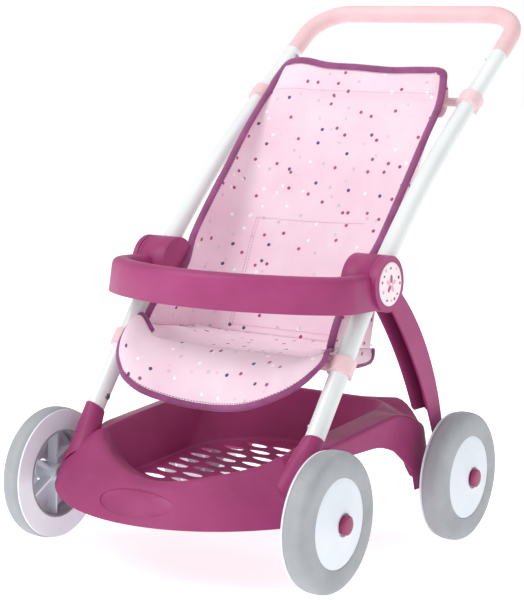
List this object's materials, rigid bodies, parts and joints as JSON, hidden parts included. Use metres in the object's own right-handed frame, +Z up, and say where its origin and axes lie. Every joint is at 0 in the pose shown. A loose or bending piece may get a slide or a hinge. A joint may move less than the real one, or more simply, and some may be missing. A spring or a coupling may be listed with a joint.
{
  "type": "doll stroller",
  "caption": "Toy doll stroller with bent side tubes, U-shaped handle grip, bumper bar, curved rear legs, sewn bucket seat, shelf basket and free-turning wheels.",
  "frame": {"origin": "on the floor, at the centre of the plan of the whole stroller", "axes": "+Z up, the front of the stroller faces -Y, +X is to the right seen from the front"},
  "size_m": [0.3904, 0.5712, 0.5847],
  "materials": {
    "plum_plastic": "satin moulded plastic",
    "rosy_plastic": "satin",
    "white_plastic": "satin",
    "white_enamel": "gloss white enamel",
    "bare_steel": "zinc plated",
    "grey_tyre": "matt",
    "seat_cloth": "woven polyester with printed dots"
  },
  "bodies": {
    "frame": {"basket": "plum_plastic", "front_axle_pins": "bare_steel", "rear_axle_pins": "bare_steel", "axle_washers": "bare_steel", "push_nuts": "bare_steel", "front_socket_left": "plum_plastic", "front_socket_right": "plum_plastic", "socket_screws": "bare_steel", "side_tube_left": "white_enamel", "side_tube_right": "white_enamel", "handle_grip": "rosy_plastic", "handle_screws": "bare_steel", "bumper_bar": "plum_plastic", "hub_clamp_left": "plum_plastic", "hub_clamp_right": "plum_plastic", "hub_screws": "bare_steel", "rear_leg_left": "plum_plastic", "rear_leg_right": "plum_plastic", "leg_screws": "bare_steel", "hub_badge_left": "rosy_plastic", "hub_badge_right": "rosy_plastic", "upper_seat_bar": "rosy_plastic", "lower_seat_bar": "rosy_plastic", "seat_back": "seat_cloth", "seat_pan": "seat_cloth", "seat_flap": "seat_cloth", "seat_side_left": "seat_cloth", "seat_side_right": "seat_cloth"},
    "wheel_set_front_left": {"wheel_front_left": "white_plastic", "tyre_front_left": "grey_tyre", "cap_front_left": "plum_plastic"},
    "wheel_set_front_right": {"wheel_front_right": "white_plastic", "tyre_front_right": "grey_tyre", "cap_front_right": "plum_plastic"},
    "wheel_set_rear_left": {"wheel_rear_left": "white_plastic", "tyre_rear_left": "grey_tyre", "cap_rear_left": "plum_plastic"},
    "wheel_set_rear_right": {"wheel_rear_right": "white_plastic", "tyre_rear_right": "grey_tyre", "cap_rear_right": "plum_plastic"}
  },
  "joints": [
    {"name": "spin_front_left", "type": "hinge", "parent": "frame", "child": "wheel_set_front_left", "pos_m": [-0.1608, -0.18241, 0.07], "axis": [1, 0, 0], "continuous": true},
    {"name": "spin_front_right", "type": "hinge", "parent": "frame", "child": "wheel_set_front_right", "pos_m": [0.1608, -0.18241, 0.07], "axis": [1, 0, 0], "continuous": true},
    {"name": "spin_rear_left", "type": "hinge", "parent": "frame", "child": "wheel_set_rear_left", "pos_m": [-0.1608, 0.09059, 0.07], "axis": [1, 0, 0], "continuous": true},
    {"name": "spin_rear_right", "type": "hinge", "parent": "frame", "child": "wheel_set_rear_right", "pos_m": [0.1608, 0.09059, 0.07], "axis": [1, 0, 0], "continuous": true}
  ]
}
